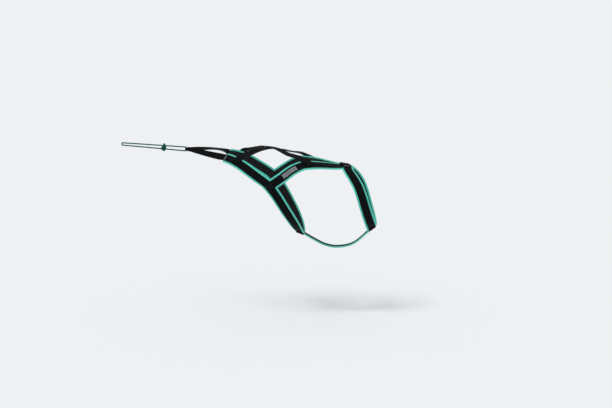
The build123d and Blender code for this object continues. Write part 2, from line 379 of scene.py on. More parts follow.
# Nylon webbing: thick ribs across it and a low silky shine.
webbingCloth = wovenCloth(
    "ribbed nylon webbing",
    {
        "ribPitch": 1.35, "threadPitch": 0.8, "threadShare": 0.45, "waver": 0.25, "soilScale": 38.0,
        "shadedGroove": "#020203", "thread": "#0c0d0f", "contrast": 0.75, "bump": 0.8, "relief": 0.22,
        "dust": 0.4, "dustColour": "#121315", "wear": 0.45, "wornColour": "#1e1f22",
        "roughness": 0.6, "sheen": 0.015, "specular": 0.06,
    },
)
# Plain woven polyester over the foam: dull, with a fine thread.
sleeveCloth = wovenCloth(
    "woven polyester over foam",
    {
        "ribPitch": 0.7, "threadPitch": 0.7, "threadShare": 0.8, "waver": 0.1, "soilScale": 30.0,
        "shadedGroove": "#030304", "thread": "#0b0c0d", "contrast": 0.6, "bump": 0.6, "relief": 0.12,
        "dust": 0.35, "dustColour": "#131416", "wear": 0.2, "wornColour": "#1c1d20",
        "roughness": 0.8, "sheen": 0.015, "specular": 0.05,
    },
)
# Grosgrain tape: close fine ribs, a clear turquoise and a soft shine.
bindingTape = wovenCloth(
    "grosgrain binding tape",
    {
        "ribPitch": 0.62, "threadPitch": 0.5, "threadShare": 0.25, "waver": 0.08, "soilScale": 55.0,
        "shadedGroove": "#30b29d", "thread": "#60dfca", "contrast": 0.75, "bump": 0.7, "relief": 0.12,
        "dust": 0.3, "dustColour": "#5d9b8f", "wear": 0.35, "wornColour": "#86dccb",
        "roughness": 0.55, "sheen": 0.15, "specular": 0.4,
    },
)


# Spacer mesh on the side that lies on the coat: a soft dark net of small round holes.
def meshLining(look):
    material, add = newMaterial("knitted spacer mesh")
    cell = {"Vector": add("ShaderNodeUVMap", uv_map="strap"), "Randomness": look["unevenness"]}
    cell["Scale"] = 1 / (look["holePitch"] * mm)
    distance = add("ShaderNodeTexVoronoi", cell).outputs["Distance"]
    net = add("ShaderNodeMapRange", {"Value": distance, "From Min": 0.22, "From Max": 0.42})
    shine = {"Roughness": 0.85, "Specular IOR Level": 0.2}
    # Painted shade: the holes take a darker colour than the yarn round them.
    colour = tinted(add, net, look["shadedHole"], look["yarn"])
    return surfaced(material, colour, shine, (net, 0.9, look["relief"] * mm))


liningMesh = meshLining(
    {"holePitch": 2.3, "unevenness": 0.15, "shadedHole": "#050506", "yarn": "#1b1c1f", "relief": 0.5}
)


# Bonded thread: smooth and faintly waxy, with a grain as fine as its plies.
def bondedThread(dye, colour, roughness):
    material, add = newMaterial(f"bonded {dye} thread")
    place = add("ShaderNodeTexCoord").outputs["Object"]
    plies = add("ShaderNodeTexNoise", {"Vector": place, "Scale": 2400.0, "Detail": 2.0})
    shine = {"Roughness": roughness, "Specular IOR Level": 0.2}
    return surfaced(material, linearColour(colour), shine, (plies, 0.5, 0.1 * mm))


blackThread = bondedThread("black", "#17181a", 0.5)
turquoiseThread = bondedThread("turquoise", "#33c4ac", 0.5)
charcoalThread = bondedThread("charcoal", "#3c3d40", 0.6)
greyThread = bondedThread("grey", "#b0b3b3", 0.5)


# Tape of glass beads in resin: an even grey, scuffed where it has rubbed.
def beadedTape(look):
    material, add = newMaterial("glass bead reflective tape")
    cell = {"Vector": add("ShaderNodeUVMap", uv_map="strap"), "Scale": 1 / (look["beadPitch"] * mm)}
    beads = add("ShaderNodeTexVoronoi", cell).outputs["Distance"]
    place = add("ShaderNodeTexCoord").outputs["Object"]
    scuffs = {"Vector": place, "Scale": 140.0, "Detail": 6.0, "Roughness": 0.65}
    scuffed = {"Value": add("ShaderNodeTexNoise", scuffs), "From Min": 0.42, "From Max": 0.62}
    colour = tinted(add, add("ShaderNodeMapRange", scuffed), look["clean"], look["scuffed"])
    shine = {"Roughness": look["roughness"], "Metallic": look["metallic"]}
    return surfaced(material, colour, shine, (beads, 0.35, 0.08 * mm))


labelTape = beadedTape(
    {"beadPitch": 0.35, "clean": "#777a7c", "scuffed": "#5c5f61", "roughness": 0.42, "metallic": 0.1}
)


# A round braid: two sets of strands wind round the cord in opposite ways and cross.
braid = {"strands": 8, "lay": 3.5}


def braidedCord(name, look):
    material, add = newMaterial(name)
    split = add("ShaderNodeSeparateXYZ", {"Vector": add("ShaderNodeUVMap", uv_map=look["uvMap"])})
    lay = {0: split.outputs["X"], 1: look["turnsAlong"]}
    turns = add("ShaderNodeMath", lay, operation="MULTIPLY")
    ways = []
    for way in (1, -1):
        strand = {0: split.outputs["Y"], 1: way * braid["strands"], 2: turns}
        phase = add("ShaderNodeMath", strand, operation="MULTIPLY_ADD")
        angle = add("ShaderNodeMath", {0: phase, 1: math.tau}, operation="MULTIPLY")
        ways.append(add("ShaderNodeMath", {0: angle}, operation="COSINE"))
    crossing = add("ShaderNodeMath", {0: ways[0], 1: ways[1]}, operation="MULTIPLY")
    height = add("ShaderNodeMath", {0: crossing, 1: 0.5, 2: 0.5}, operation="MULTIPLY_ADD")
    shine = {"Roughness": 0.55, "Sheen Weight": 0.02, "Specular IOR Level": 0.12}
    # Painted shade: the darker groove colour where the strands dip under each other, the strand colour
    # where they cross on top.
    colour = tinted(add, height, look["shadedGroove"], look["strand"])
    return surfaced(material, colour, shine, (height, 0.9, 0.3 * mm))


print("stage: materials")


# Pieces. A piece rides on a body and may stand for nodes, which it hides.
def makeObject(name, data, body, slotName, *nodes):
    made = addObject(name, data)
    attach(made, body)
    if nodes:
        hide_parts(*nodes)
    return made


# The tug cord: one braided cord from inside the webbing's fold, round the bight and back.
cord = {
    "eyeX": -487.0, "eyeZ": 48.0, "rise": 4.1, "diameter": 4.0, "length": 430.4,
    "halfGapAtEye": 6.25, "halfGapAtBight": 3.7, "loopLength": 208.0,
    "bendAtEye": 2.7, "bendAtBight": 3.6, "bendRows": 24, "endGap": 0.05, "spacing": 1.5,
}
pull = math.radians(cord["rise"])
eyeForward = Vector((math.cos(pull), 0, -math.sin(pull)))
eyeUp = Vector((math.sin(pull), 0, math.cos(pull)))
eye = Vector((cord["eyeX"], 0, cord["eyeZ"]))


# Half the distance between the strands' centre lines, this far behind the eye.
def halfGap(back):
    return mix(cord["halfGapAtEye"], cord["halfGapAtBight"], back / cord["loopLength"])


def onLoop(back, up, aside=0.0):
    return (eye - eyeForward * back + eyeUp * up + Vector((0, aside, 0))) * mm


# Points a spacing apart along straight runs that are rounded at the corners.
def roundedRoute(corners, radii, spacing):
    route = [corners[0]]
    for i, radius in enumerate(radii, 1):
        arriving = (corners[i] - corners[i - 1]).normalized()
        leaving = (corners[i + 1] - corners[i]).normalized()
        turn = arriving.angle(leaving)
        inwards = (leaving - arriving * math.cos(turn)).normalized()
        start = corners[i] - arriving * radius * math.tan(turn / 2)
        for angle in spread(0, turn, cord["bendRows"]):
            bent = arriving * math.sin(angle) + inwards * (1 - math.cos(angle))
            route.append(start + bent * radius)
    route.append(corners[-1])
    reach = lengths(route)
    points = []
    for distance in spread(0, reach[-1], round(reach[-1] / spacing) + 1):
        place = bisect.bisect(reach, distance, 1, len(reach) - 1)
        share = (distance - reach[place - 1]) / (reach[place] - reach[place - 1])
        points.append(route[place - 1].lerp(route[place], share))
    return points


def nurbsCord(name, points, diameter, material):
    curve = bpy.data.curves.new(name, "CURVE")
    curve.dimensions = "3D"
    curve.resolution_u = 3
    curve.bevel_depth = diameter / 2
    curve.bevel_resolution = 6
    curve.use_fill_caps = True
    spline = curve.splines.new("NURBS")
    spline.points.add(len(points) - 1)
    for point, place in zip(spline.points, points):
        point.co = (*place, 1.0)
    spline.order_u = 3
    spline.use_endpoint_u = True
    curve.materials.append(material)
    return curve


far = cord["loopLength"]
corners = [onLoop(0, cord["endGap"]), onLoop(0, halfGap(0)), onLoop(far, halfGap(far))]
corners += [onLoop(far, -halfGap(far)), onLoop(0, -halfGap(0)), onLoop(0, -cord["endGap"])]
bends = [cord[f"bendAt{place}"] * mm for place in ("Eye", "Bight", "Bight", "Eye")]
cordPoints = roundedRoute(corners, bends, cord["spacing"] * mm)
loopTurns = cord["length"] / braid["lay"]
loopBraid = braidedCord(
    "braided polyester cord",
    {"shadedGroove": "#04342b", "strand": "#127363", "uvMap": "UVMap", "turnsAlong": loopTurns},
)
cordCurve = nurbsCord("tugCord", cordPoints, cord["diameter"] * mm, loopBraid)
tugCord = makeObject("tugCord", cordCurve, "tug_loop", "loop_cord", "tug_cord")
print("stage: tug cord")


def toMesh(name, mesh, materials):
    made = bpy.data.meshes.new(name)
    mesh.to_mesh(made)
    mesh.free()
    for material in materials:
        made.materials.append(material)
    return made


# Closed skin over rings of corners. uvAt gives the place in the UV map of a ring's corner, and the
# faces from liningFrom on take the second material.
def skin(mesh, rings, uvAt, liningFrom=math.inf):
    layer = mesh.loops.layers.uv.new("strap")
    for i in range(len(rings) - 1):
        for j in range(len(rings[0])):
            k = (j + 1) % len(rings[0])
            face = mesh.faces.new((rings[i][j], rings[i][k], rings[i + 1][k], rings[i + 1][j]))
            face.material_index = int(j >= liningFrom)
            face.smooth = True
            corners = ((i, j), (i, j + 1), (i + 1, j + 1), (i + 1, j))
            for loop, corner in zip(face.loops, corners):
                loop[layer].uv = uvAt(*corner)
    for ring in (rings[0][::-1], rings[-1]):
        mesh.faces.new(ring)


sharpFrom = 50  # degrees


# A closed section carried along the stations. section(frame) gives the ring's rows of across and
# outward. Each cut is a plane, as a point and a normal, and what lies on the normal's side is kept.
def sweep(name, frames, section, materials, cuts=(), liningFrom=math.inf):
    mesh = bmesh.new()
    edgeLayer = mesh.verts.layers.float.new("edge")
    rings, rounds = [], []
    for frame in frames:
        rows = section(frame)
        widest = max(abs(across) for across, _ in rows)
        rings.append([mesh.verts.new(frame.at(*row) * mm) for row in rows])
        for vert, (across, _) in zip(rings[-1], rows):
            vert[edgeLayer] = abs(across) / widest
        around = [0.0]
        for (a, b), (c, d) in zip(rows, rows[1:] + rows[:1]):
            around.append(around[-1] + math.hypot(c - a, d - b))
        rounds.append(around)
    skin(mesh, rings, lambda ring, row: (frames[ring].reach * mm, rounds[ring][row] * mm), liningFrom)
    for point, normal in cuts:
        everything = mesh.verts[:] + mesh.edges[:] + mesh.faces[:]
        cut = bmesh.ops.bisect_plane(
            mesh, geom=everything, plane_co=point * mm, plane_no=normal, clear_inner=True
        )
        rim = [part for part in cut["geom_cut"] if isinstance(part, bmesh.types.BMEdge)]
        if rim:
            bmesh.ops.holes_fill(mesh, edges=rim, sides=0)
    bmesh.ops.recalc_face_normals(mesh, faces=mesh.faces[:])
    made = toMesh(name, mesh, materials)
    made.set_sharp_from_angle(angle=math.radians(sharpFrom))
    return made


def joinMeshes(name, meshes, materials):
    together = bmesh.new()
    for mesh in meshes:
        together.from_mesh(mesh)
        bpy.data.meshes.remove(mesh)
    return toMesh(name, together, materials)


def harnessPiece(name, frames, section, materials, slotName, *nodes, **shape):
    mesh = sweep(name, frames, section, materials, **shape)
    return makeObject(name, mesh, "harness", slotName, *nodes)


# The ring of a band: its face, one edge, its underside and the other edge. face, underside and rim
# give heights at a place across, and rim gives the upper and the lower one of an edge.
def bandRing(half, piece, face, underside, rim):
    inner, counts = half - piece["corner"], piece["rows"]
    rows = [(across, face(across)) for across in spread(-inner, inner, counts[0])]
    rows += [(half, height) for height in rim(half)]
    rows += [(across, underside(across)) for across in spread(inner, -inner, counts[1])]
    return rows + [(-half, height) for height in rim(-half)[::-1]]


# Seams, gathered as runs of points with the way off the cloth, and sewn at the end.
seamRuns = defaultdict(list)
seamStep = 1.2
threadSink = 0.1


# A line of stitches on a strap between two places, each a reach and an across.
def sew(thread, frames, start, end, height, face=1, cuts=()):
    length = math.hypot(end[0] - start[0], end[1] - start[1])
    run = []
    for share in spread(0, 1, max(2, round(length / seamStep) + 1)):
        frame, across = stationAt(frames, mix(start[0], end[0], share)), mix(start[1], end[1], share)
        point = frame.at(across, height(frame, across))
        if all((point - origin).dot(normal) > 0 for origin, normal in cuts):
            run.append((point, frame.outward * face))
        elif run:
            seamRuns[thread].append(run)
            run = []
    if len(run) > 1:
        seamRuns[thread].append(run)


# A sewn box with a cross in it, from one reach to another.
def sewBox(thread, frames, low, high, half, height):
    corners = [(low, -half), (high, -half), (high, half), (low, half)]
    lines = list(zip(corners, corners[1:] + corners[:1]))
    lines += [(corners[0], corners[2]), (corners[1], corners[3])]
    for start, end in lines:
        inset = seamStep / 2 / math.hypot(end[0] - start[0], end[1] - start[1])
        ends = [[mix(a, b, share) for a, b in zip(start, end)] for share in (inset, 1 - inset)]
        sew(thread, frames, *ends, height)


# Padded sleeves: a foam pad in cloth, webbing sewn along its outer face and bound edges.
pad = {
    "halfWidth": 14.2, "top": 1.35, "bottom": -2.5, "edgeTop": 0.9, "edgeBottom": -1.0,
    "bulge": 0.4, "seamDent": 0.45, "dentBreadth": 1.3, "topPower": 4, "underPower": 6,
    "unevenness": 0.25, "grainSize": 14.0, "seed": 3.0, "topRows": 9, "underRows": 15,
}
webbing = {
    "halfWidth": 12.6, "top": 2.75, "bottom": 1.2, "seamAt": 10.6, "seamDip": 0.3, "seamBreadth": 0.7,
    "pucker": 0.14, "puckerPitch": 6.8, "puckerLag": 1.7, "puckerBeyondSeam": 1.5, "puckerBreadth": 2.2,
    "unevenness": 0.16, "grainSize": 9.0, "seed": 0.0, "corner": 0.5, "edgeDrop": 0.45, "edgeRise": 0.3,
    "rows": (25, 5), "lapRise": 1.7, "lapRamp": 6.0, "lapTo": 8.25,
}
binding = {
    "inner": 12.3, "outer": 18.1, "top": 1.95, "bottom": -1.75,
    "seamAt": 14.1, "seamDip": 0.22, "seamBreadth": 0.5, "seamStart": 1.0,
    "wave": 0.22, "wavePitch": 9.0, "waveShare": 0.6, "waveUp": 0.5, "waveAcross": 0.25,
    "grainSize": 6.0, "seed": 7.0, "roundedEnd": 3.0, "endWidth": 0.25, "flatShare": 0.4,
    "shares": (0.0, 0.12, 0.24, 0.36, 0.5, 0.64, 0.77, 0.88, 0.96),
}
sleeveEdge = 12.75
bindingEdge = 17.8
sewnGap = 0.05


def padUnder(frame, across):
    share = abs(across) / pad["halfWidth"]
    swell = pad["bulge"] + uneven(pad, frame.point)
    dent = bell(abs(across), webbing["seamAt"], pad["dentBreadth"]) * pad["seamDent"]
    height = pad["bottom"] - swell * (1 - share**2) + dent
    return height + (pad["edgeBottom"] - pad["bottom"]) * share ** pad["underPower"]


def padSection(frame):
    half = pad["halfWidth"]
    span = spread(-half, half, pad["topRows"])
    rows = [(a, mix(pad["top"], pad["edgeTop"], (abs(a) / half) ** pad["topPower"])) for a in span]
    return rows + [(a, padUnder(frame, a)) for a in spread(half, -half, pad["underRows"])]


# The webbing's face dips along its seams and puckers a little between the stitches.
def webbingTop(frame, across):
    phase = webbing["puckerLag"] if across > 0 else 0.0
    ripple = math.sin(frame.reach * math.tau / webbing["puckerPitch"] + phase)
    puckered = webbing["seamAt"] + webbing["puckerBeyondSeam"]
    ripple *= webbing["pucker"] * bell(abs(across), puckered, webbing["puckerBreadth"])
    rough = uneven(webbing, frame.point + frame.across * across)
    return webbing["top"] - seamDip(webbing, across) + ripple + rough


def webbingSection(frame):
    low, drop = webbing["bottom"], webbing["edgeDrop"]
    return bandRing(
        webbing["halfWidth"],
        webbing,
        lambda across: webbingTop(frame, across),
        lambda across: low,
        lambda across: (webbingTop(frame, across) - drop, low + webbing["edgeRise"]),
    )


# Roundness of the folded tape from its flat part, 1, to its fold, 0.
def foldShare(share):
    past = max(share - binding["flatShare"], 0) / (1 - binding["flatShare"])
    return math.sqrt(max(1 - past**2, 0.0))


def bindingRipple(frame, edge):
    ripple = math.sin(frame.reach * math.tau / binding["wavePitch"] + edge)
    return binding["wave"] * (binding["waveShare"] * ripple + grain(binding, frame.point))


# Tape folded round one edge of the pad, rounded off at the given ends of the strap.
def bindingSection(edge, ends):
    low, wide = binding["inner"], binding["outer"] - binding["inner"]

    def section(frame):
        left = min((abs(frame.reach - end) for end in ends), default=math.inf)
        share = min(left / binding["roundedEnd"], 1.0)
        narrowed = math.sqrt(max(1 - (1 - share) ** 2, 0.0)) * (1 - binding["endWidth"])
        narrowed += binding["endWidth"]
        ripple = bindingRipple(frame, edge)
        rows = []
        for across in binding["shares"]:
            height = binding["top"] - seamDip(binding, low + wide * across) + ripple * binding["waveUp"]
            rows.append((across, height * foldShare(across)))
        rows.append((1.0, 0.0))
        rows += [(across, binding["bottom"] * foldShare(across)) for across in binding["shares"][::-1]]
        ripple *= binding["waveAcross"]
        shaped = [(edge * (low + wide * a * narrowed + ripple * a), height) for a, height in rows]
        return shaped if edge > 0 else shaped[::-1]

    return section


def bindingTop(frame, across):
    ripple = bindingRipple(frame, math.copysign(1, across)) * binding["waveUp"]
    return binding["top"] - binding["seamDip"] + ripple


# A plane along a strap at a distance from its centre line, at the place nearest a point.
def alongStrap(frames, near, distance, facing):
    frame = nearest(frames, near)
    return frame.point + frame.across * distance, frame.across * facing


def midline(side):
    return Vector((0, side * sewnGap, 0)), Vector((0, side, 0))


strapFrames = {
    (kind, name): stations(route, side)
    for name, side in sides.items()
    for kind, route in sleeveRoutes.items()
    if kind != "breast" or name == "right"
}

# Straps whose webbing goes on past the pad's end and laps over the webbing of the next strap.
# Columns: that strap, the place, which of that strap's edges comes first.
laps = {"shoulder": ("neck", "neckMeetsShoulder", -1), "brace": ("flank", "braceMeetsFlank", 1)}


# The planes that end a lapping strap's pad and its webbing.
def lapPlanes(kind, name):
    crossed, place, first = laps[kind]
    frames, near = strapFrames[crossed, name], spot(place, sides[name])
    lapEnd = alongStrap(frames, near, -first * webbing["lapTo"], first)
    return alongStrap(frames, near, first * sleeveEdge, first), lapEnd


# Planes that end a padded strap where it is sewn to the next one.
def strapEnds(kind, name):
    side = sides[name]
    if kind in ("neck", "flank"):
        return [midline(side)]
    if kind == "breast":
        return [
            alongStrap(strapFrames[met, name], spot(f"{met}MeetsBreast", side), edge * sleeveEdge, edge)
            for met, edge in (("neck", -1), ("flank", 1))
        ]
    joint = spot("shoulderMeetsBrace", side)
    turn = nearest(strapFrames["shoulder", name], joint).along
    turn = (turn + nearest(strapFrames["brace", name], joint).along).normalized()
    padEnd = lapPlanes(kind, name)[0]
    if kind == "shoulder":
        return [padEnd, midline(side), (joint - turn * sewnGap, -turn)]
    return [padEnd, (joint + turn * sewnGap, turn)]


# The stations, raised over the other strap's webbing where they are past a plane.
def lapped(frames, plane):
    origin, normal = plane
    raised = []
    for frame in frames:
        past = 1 - (frame.point - origin).dot(normal) / webbing["lapRamp"]
        lift = frame.outward * (webbing["lapRise"] * smoothStep(past))
        raised.append(Station(frame.point + lift, frame.along, frame.across, frame.outward, frame.reach))
    return raised


# Stretches of a binding along one edge, each as its stations and the planes that cut it, because
# a binding stops where another strap runs into it.
def stretches(kind, name, edge):
    frames, side = strapFrames[kind, name], sides[name]
    breast = nearest(strapFrames["breast", "right"], frames[-1].point)
    sideways = math.copysign(1, breast.across.y) * side
    besideBreast = (breast.point + breast.across * bindingEdge * sideways, breast.across * sideways)
    if kind == "neck" and edge < 0:
        joint = spot("shoulderAtNeck", side)
        besideShoulder = alongStrap(strapFrames["shoulder", name], joint, bindingEdge, 1)
        return [(frames, [besideShoulder, besideBreast])]
    if kind == "flank" and edge > 0:
        brace, joint = strapFrames["brace", name], spot("braceMeetsFlank", side)
        middle = frames.index(nearest(frames, joint))
        return [
            (frames[: middle + 1], [alongStrap(brace, joint, -bindingEdge, -1)]),
            (frames[middle:], [alongStrap(brace, joint, bindingEdge, 1), besideBreast]),
        ]
    return [(frames, [])]


def onWebbing(frame, across):
    return webbingTop(frame, across) + threadSink


def paddedStrap(kind, name):
    frames, ends = strapFrames[kind, name], strapEnds(kind, name)
    label = kind + name.capitalize() if kind != "breast" else kind
    node = f"{kind}_%s_{name}" if kind != "breast" else "breast_%s"
    cloths, shape = [sleeveCloth, liningMesh], {"cuts": ends, "liningFrom": pad["topRows"]}
    pieceName, strapNode = f"{label}Pad", node % "strap"
    padPiece = harnessPiece(pieceName, frames, padSection, cloths, "sleeve_cloth", strapNode, **shape)

    webbingFrames, webbingEnds = frames, ends
    if kind in laps:
        padEnd, webbingEnd = lapPlanes(kind, name)
        webbingFrames, webbingEnds = lapped(frames, padEnd), [webbingEnd] + ends[1:]
    harnessPiece(
        f"{label}Webbing", webbingFrames, webbingSection, [webbingCloth], "webbing", cuts=webbingEnds
    )
    for across in (webbing["seamAt"], -webbing["seamAt"]):
        seam = ((0, across), (frames[-1].reach, across))
        sew("blackSeams", webbingFrames, *seam, onWebbing, 1, webbingEnds)
        sew("blackSeams", frames, *seam, lambda f, a: padUnder(f, a) - threadSink, -1, ends)

    taped = []
    rounded = [0.0] if kind == "flank" else []
    for edge in (1, -1):
        across = edge * binding["seamAt"]
        for piece, planes in stretches(kind, name, edge):
            section, cuts = bindingSection(edge, rounded), ends + planes
            taped.append(sweep("part", piece, section, [bindingTape], cuts))
            seam = ((piece[0].reach + binding["seamStart"], across), (piece[-1].reach, across))
            sew("turquoiseSeams", piece, *seam, bindingTop, 1, cuts)
            sew("turquoiseSeams", piece, *seam, lambda f, a: binding["bottom"], -1, cuts)
    tapedMesh = joinMeshes(f"{label}Binding", taped, [bindingTape])
    makeObject(f"{label}Binding", tapedMesh, "harness", "binding_tape", node % "binding")


for kind, name in strapFrames:
    paddedStrap(kind, name)
print("stage: padded straps")


# Dark boxes sewn through the laps, and grey bars across the laps on the neck straps and across
# the hip ends.
sewn = {
    "lapBox": (2.0, 19.0), "boxHalf": 8.6, "hipBar": 2.6, "hipBox": (6.0, 26.0),
    "barHalf": 11.6, "neckBarTo": 7.2, "neckBarLift": 0.25,
}


def onNeckLap(frame, across):
    return onWebbing(frame, across) + webbing["lapRise"] + sewn["neckBarLift"]


for name, side in sides.items():
    for kind, (_, _, first) in laps.items():
        padEnd = lapPlanes(kind, name)[0]
        frames = lapped(strapFrames[kind, name], padEnd)
        past = [f.reach for f in frames if (f.point - padEnd[0]).dot(padEnd[1]) < 0]
        lapStart = past[0] if first > 0 else past[-1]
        box = sorted(lapStart + first * distance for distance in sewn["lapBox"])
        sewBox("charcoalSeams", frames, *box, sewn["boxHalf"], onWebbing)
    neck, flank = strapFrames["neck", name], strapFrames["flank", name]
    bar = nearest(neck, spot("neckBar", side)).reach
    half = sewn["barHalf"]
    sew("greyTacks", neck, (bar, -half), (bar, sewn["neckBarTo"]), onNeckLap)
    sew("greyTacks", flank, (sewn["hipBar"], -half), (sewn["hipBar"], half), onWebbing)
    sewBox("blackSeams", flank, *sewn["hipBox"], sewn["boxHalf"], onWebbing)
print("stage: laps and bars")


# Plain webbing with full edges, a little uneven.
flat = {
    "corner": 0.4, "rows": (15, 7), "unevenness": 0.25, "grainSize": 16.0, "seed": 5.0,
    "ridge": 0.15, "ridgeIn": 1.0, "ridgeBreadth": 0.7,
}


def flatSection(half, thick):
    rise = thick / 2

    def ridge(across):
        return flat["ridge"] * bell(abs(across), half - flat["ridgeIn"], flat["ridgeBreadth"])

    def section(frame):
        curl, rim = uneven(flat, frame.point), rise - flat["corner"]
        return bandRing(
            half,
            flat,
            lambda across: rise + curl * (across / half) ** 2 + ridge(across),
            lambda across: curl * (across / half) ** 2 - rise,
            lambda across: (curl + rim, curl - rim),
        )

    return section


def flatStrap(name, frames, half, thick, node):
    harnessPiece(name, frames, flatSection(half, thick), [webbingCloth], "webbing", node)


# Crossed back straps of plain webbing, sewn down at both ends and where they cross.
backBand = {"halfWidth": 11.5, "thick": 2.0, "endBox": (3.0, 24.0), "boxHalf": 8.2}
for name, side in sides.items():
    frames = stations(backStart + backMiddles[name] + backEnd, side)
    half, thick = backBand["boxHalf"], backBand["thick"]
    piece, node = f"backStrap{name.capitalize()}", f"back_strap_{name}"
    flatStrap(piece, frames, backBand["halfWidth"], thick, node)
    (low, high), whole = backBand["endBox"], frames[-1].reach
    boxes = [(low, high), (whole - high, whole - low)]
    if name == "right":
        crossing = nearest(frames, spot("crossing", side)).reach
        boxes.append((crossing - half, crossing + half))
    for box in boxes:
        sewBox("blackSeams", frames, *box, half, lambda f, a: thick / 2 + threadSink)
print("stage: back straps")


# The tug webbing: one band from hip to hip through a fold round the cord. In the middle the right
# leg stands on edge, and the left one lies nearly flat and higher.
tug = {
    "thick": 1.7, "corner": 0.4, "rows": (15, 15), "hipLift": 1.95,
    "halfWidthAtHip": 12.2, "halfWidthAtLeg": 6.5, "halfWidthAtCord": 3.5,
    "wideFrom": 2.6, "narrowTo": 2.0, "legForward": 10.0, "legAside": 1.2, "foldRadius": 3.35,
    "legRows": 60, "tipRows": 25, "foldRows": 15,
    "pleat": 0.7, "pleatAtFold": 0.25, "pleatWaves": 0.75, "calmInFold": 0.2,
    "unevenness": 0.3, "grainSize": 18.0, "seed": 9.0,
    "bendPower": 8, "arch": {"right": -1.2, "left": 7.0}, "archPower": 0.65,
    "hipTurn": {"right": 4, "left": 9}, "eyeTurn": {"right": 3, "left": 2.2},
    "barForward": 14.0, "barHalf": 5.2,
}
halfWayAcross = {"right": Vector((0, 0.45, 0.89)), "left": Vector((0, -0.94, 0.34))}


# On one leg, this far in front of the eye.
def onLeg(forward, side):
    return eye + eyeForward * forward + Vector((0, side * tug["legAside"], 0))


# Rows of point, across, outward and share for one leg, from the hip to the fold.
def tugLeg(name, side):
    hip = strapFrames["flank", name][0]
    start = hip.point + hip.outward * tug["hipLift"]
    end = onLeg(tug["legForward"], side)
    way = (end - start).normalized()
    bend = (-hip.along - way) * (end - start).length
    rows = []
    for share in spread(0, 1, tug["legRows"]):
        hipPart, eyePart = (1 - share) ** tug["hipTurn"][name], share ** tug["eyeTurn"][name]
        along = (way * share - hip.along * (1 - share)).normalized()
        across = hip.across * hipPart + eyeUp * eyePart
        across += halfWayAcross[name] * (1 - hipPart - eyePart)
        across = (across - along * across.dot(along)).normalized()
        point = mix(start, end, share) + bend * (share * (1 - share) ** tug["bendPower"])
        point.z += tug["arch"][name] * math.sin(math.pi * share ** tug["archPower"])
        rows.append((point, across, along.cross(across) * side, share))
    return rows


# The narrow end of a leg, from where it is pleated to the cord.
def tugTip(side):
    leg, rim = onLeg(tug["legForward"], side), eye + Vector((0, side * tug["foldRadius"], 0))
    rows = []
    for share in spread(0, 1, tug["tipRows"])[1:-1]:
        point = mix(leg, rim, share)
        point.y = mix(leg.y, rim.y, smoothStep(share))
        rows.append((point, eyeUp, Vector((0, side, 0)), 1 + share))
    return rows


def tugFrames():
    arc = []
    for angle in spread(90, 270, tug["foldRows"]):
        turn = math.radians(angle)
        outward = eyeForward * math.cos(turn) + Vector((0, -math.sin(turn), 0))
        arc.append((eye + outward * tug["foldRadius"], eyeUp, outward, 2.0))
    rows = tugLeg("right", -1) + tugTip(-1) + arc + tugTip(1)[::-1] + tugLeg("left", 1)[::-1]
    points = [row[0] for row in rows]
    return [
        Station(point, wayAt(points, i), across, outward, reach, share)
        for i, ((point, across, outward, share), reach) in enumerate(zip(rows, lengths(points)))
    ]


def tugPleat(frame, across, half):
    share = frame.share
    past = max(share - 1, 0)
    fold = tug["pleat"] * min(share, 2 - share) + tug["pleatAtFold"] * past
    curl = uneven(tug, frame.point) * (1 if share < 1 else tug["calmInFold"])
    return fold * math.cos(across / half * math.tau * tug["pleatWaves"]) + curl * (across / half) ** 2


def tugSection(frame):
    hipHalf, legHalf, cordHalf = (tug[f"halfWidthAt{place}"] for place in ("Hip", "Leg", "Cord"))
    share = frame.share
    if share <= 1:
        half = mix(hipHalf, legHalf, share)
    else:
        past = tug["legForward"] * (2 - share) - tug["narrowTo"]
        half = mix(cordHalf, legHalf, smoothStep(past / (tug["wideFrom"] - tug["narrowTo"])))
    rise, rim = tug["thick"] / 2, tug["thick"] / 2 - tug["corner"]

    def pleat(across):
        return tugPleat(frame, across, half)

    return bandRing(
        half,
        tug,
        lambda across: pleat(across) + rise,
        lambda across: pleat(across) - rise,
        lambda across: (pleat(across) + rim, pleat(across) - rim),
    )


def onTug(frame, across):
    return tug["thick"] / 2 + tugPleat(frame, across, tug["halfWidthAtLeg"]) + threadSink


bandFrames = tugFrames()
nodes = ("tug_strap_right", "tug_strap_left", "tug_eye")
harnessPiece("tugWebbing", bandFrames, tugSection, [webbingCloth], "webbing", *nodes)
for side in sides.values():
    bar, half = nearest(bandFrames, onLeg(tug["barForward"], side)).reach, tug["barHalf"]
    sew("blackTacks", bandFrames, (bar, -half), (bar, half), onTug)
print("stage: tug webbing")


# Patches over the three places on the midline where straps meet.
# Columns: x, degrees on the midline, degrees to each side, height above the body, half width.
patches = {
    "withers": (19, 0, 11, 8.2, 15.0),
    "chest": (108, 180, 22, 6.9, 12.0),
    "belly": (-119, 180, 14, 8.7, 13.0),
}
patchBand = {"thick": 1.8, "margin": 2.6, "spacing": 1.5}
for place, (x, middle, aside, lift, half) in patches.items():
    route = [(x, middle + turn, lift) for turn in (-aside, 0, aside)]
    frames, margin = stations(route, 1, patchBand["spacing"]), patchBand["margin"]
    flatStrap(f"{place}Patch", frames, half, patchBand["thick"], f"{place}_patch")
    box = (margin, frames[-1].reach - margin, half - margin)
    sewBox("blackSeams", frames, *box, lambda f, a: patchBand["thick"] / 2 + threadSink)


# Reflective labels on the brace straps, with nothing printed on them.
label = {
    "length": 52.0, "halfWidth": 7.0, "lift": 2.95, "thick": 0.5,
    "seamIn": 1.1, "edgeDrop": 0.25, "edgePower": 8, "rows": 13, "endSlack": 0.5,
    "unevenness": 0.14, "grainSize": 7.0, "seed": 2.0,
}


def labelTop(frame, across):
    edge = label["edgeDrop"] * (abs(across) / label["halfWidth"]) ** label["edgePower"]
    rough = uneven(label, frame.point + frame.across * across)
    return label["lift"] + label["thick"] / 2 + rough - edge


def labelSection(frame):
    half = label["halfWidth"]
    rows = [(across, labelTop(frame, across)) for across in spread(-half, half, label["rows"])]
    return rows + [(across, label["lift"] - label["thick"]) for across in (half, -half)]


